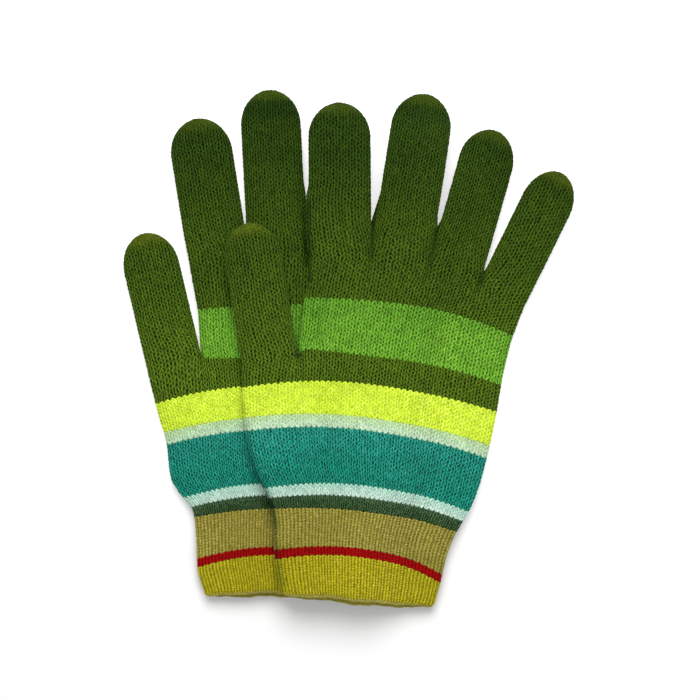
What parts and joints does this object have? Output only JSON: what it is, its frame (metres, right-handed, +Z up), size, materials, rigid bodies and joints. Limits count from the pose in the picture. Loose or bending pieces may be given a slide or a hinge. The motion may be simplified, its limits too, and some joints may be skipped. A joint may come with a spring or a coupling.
{
  "type": "knitted gloves",
  "caption": "Pair of striped knitted gloves laid flat, one across the other, with hollow fingers that curl and an upper glove that lifts off.",
  "frame": {"origin": "on the surface the pair lies on, under the middle of the pair's box", "axes": "+Z up, +Y towards the fingertips, -X towards the thumbs"},
  "size_m": [0.1901, 0.2191, 0.0212],
  "materials": {
    "chartreuse_yarn": "ribbed knit, matt",
    "red_yarn": "knit, matt",
    "tan_yarn": "ribbed knit, matt",
    "dark_green_yarn": "stocking-stitch knit, matt",
    "pale_mint_yarn": "stocking-stitch knit, matt",
    "teal_yarn": "stocking-stitch knit, matt",
    "grey_mint_yarn": "stocking-stitch knit, matt",
    "neon_yarn": "stocking-stitch knit, matt",
    "olive_yarn": "stocking-stitch knit, matt",
    "bright_green_yarn": "stocking-stitch knit, matt"
  },
  "bodies": {
    "lower_hand": {"lower_cuff_hem": "chartreuse_yarn", "lower_red_line": "red_yarn", "lower_tan_cuff": "tan_yarn", "lower_dark_green_line": "dark_green_yarn", "lower_pale_mint_line": "pale_mint_yarn", "lower_teal_stripe": "teal_yarn", "lower_grey_mint_line": "grey_mint_yarn", "lower_neon_stripe": "neon_yarn", "lower_olive_thumb_band": "olive_yarn", "lower_bright_green_stripe": "bright_green_yarn", "lower_olive_knuckles": "olive_yarn", "lower_index_base": "olive_yarn", "lower_middle_base": "olive_yarn", "lower_ring_finger": "olive_yarn", "lower_little_finger": "olive_yarn"},
    "lower_index_tip": {"lower_index_tip": "olive_yarn"},
    "lower_middle_tip": {"lower_middle_tip": "olive_yarn"},
    "lower_thumb_base": {"lower_thumb_base": "olive_yarn"},
    "lower_thumb_tip": {"lower_thumb_tip": "olive_yarn"},
    "upper_hand": {"upper_cuff_hem": "chartreuse_yarn", "upper_red_line": "red_yarn", "upper_tan_cuff": "tan_yarn", "upper_dark_green_line": "dark_green_yarn", "upper_pale_mint_line": "pale_mint_yarn", "upper_teal_stripe": "teal_yarn", "upper_grey_mint_line": "grey_mint_yarn", "upper_neon_stripe": "neon_yarn", "upper_olive_thumb_band": "olive_yarn", "upper_bright_green_stripe": "bright_green_yarn", "upper_olive_knuckles": "olive_yarn"},
    "upper_thumb_base": {"upper_thumb_base": "olive_yarn"},
    "upper_thumb_tip": {"upper_thumb_tip": "olive_yarn"},
    "upper_index_base": {"upper_index_base": "olive_yarn"},
    "upper_index_tip": {"upper_index_tip": "olive_yarn"},
    "upper_middle_base": {"upper_middle_base": "olive_yarn"},
    "upper_middle_tip": {"upper_middle_tip": "olive_yarn"},
    "upper_ring_base": {"upper_ring_base": "olive_yarn"},
    "upper_ring_tip": {"upper_ring_tip": "olive_yarn"},
    "upper_little_base": {"upper_little_base": "olive_yarn"},
    "upper_little_tip": {"upper_little_tip": "olive_yarn"}
  },
  "joints": [
    {"name": "upper_glove_lift", "type": "slide", "parent": "lower_hand", "child": "upper_hand", "axis": [0, 0, 1], "range_m": [0, 0.06]},
    {"name": "lower_thumb_root", "type": "hinge", "parent": "lower_hand", "child": "lower_thumb_base", "pos_m": [-0.07391, -0.00499, 0.009], "axis": [0.9732, 0.23, 0], "range_deg": [0, 45]},
    {"name": "lower_thumb_bend", "type": "hinge", "parent": "lower_thumb_base", "child": "lower_thumb_tip", "pos_m": [-0.08007, 0.02108, 0.009], "axis": [0.9732, 0.23, 0], "range_deg": [0, 70]},
    {"name": "lower_index_bend", "type": "hinge", "parent": "lower_hand", "child": "lower_index_tip", "pos_m": [-0.0581, 0.05811, 0.009], "axis": [0.9874, 0.1582, 0], "range_deg": [0, 75]},
    {"name": "lower_middle_bend", "type": "hinge", "parent": "lower_hand", "child": "lower_middle_tip", "pos_m": [-0.03144, 0.06702, 0.009], "axis": [0.9987, 0.0506, 0], "range_deg": [0, 75]},
    {"name": "upper_thumb_root", "type": "hinge", "parent": "upper_hand", "child": "upper_thumb_base", "pos_m": [-0.03276, -0.00418, 0.0198], "axis": [0.9863, 0.165, 0], "range_deg": [0, 45]},
    {"name": "upper_thumb_bend", "type": "hinge", "parent": "upper_thumb_base", "child": "upper_thumb_tip", "pos_m": [-0.03735, 0.02323, 0.0198], "axis": [0.9863, 0.165, 0], "range_deg": [0, 70]},
    {"name": "upper_index_root", "type": "hinge", "parent": "upper_hand", "child": "upper_index_base", "pos_m": [-0.00335, 0.03681, 0.0198], "axis": [1, 0.0087, 0], "range_deg": [0, 50]},
    {"name": "upper_index_bend", "type": "hinge", "parent": "upper_index_base", "child": "upper_index_tip", "pos_m": [-0.00363, 0.06883, 0.0198], "axis": [1, 0.0087, 0], "range_deg": [0, 75]},
    {"name": "upper_middle_root", "type": "hinge", "parent": "upper_hand", "child": "upper_middle_base", "pos_m": [0.0212, 0.03501, 0.0198], "axis": [0.9877, -0.1564, 0], "range_deg": [0, 50]},
    {"name": "upper_middle_bend", "type": "hinge", "parent": "upper_middle_base", "child": "upper_middle_tip", "pos_m": [0.02677, 0.07015, 0.0198], "axis": [0.9877, -0.1564, 0], "range_deg": [0, 75]},
    {"name": "upper_ring_root", "type": "hinge", "parent": "upper_hand", "child": "upper_ring_base", "pos_m": [0.04412, 0.03003, 0.01647], "axis": [0.9622, -0.2723, 0], "range_deg": [0, 50]},
    {"name": "upper_ring_bend", "type": "hinge", "parent": "upper_ring_base", "child": "upper_ring_tip", "pos_m": [0.05266, 0.06019, 0.01631], "axis": [0.9622, -0.2723, 0], "range_deg": [0, 75]},
    {"name": "upper_little_root", "type": "hinge", "parent": "upper_hand", "child": "upper_little_base", "pos_m": [0.06452, 0.02228, 0.009], "axis": [0.898, -0.4399, 0], "range_deg": [0, 50]},
    {"name": "upper_little_bend", "type": "hinge", "parent": "upper_little_base", "child": "upper_little_tip", "pos_m": [0.07687, 0.04751, 0.009], "axis": [0.898, -0.4399, 0], "range_deg": [0, 75]}
  ]
}
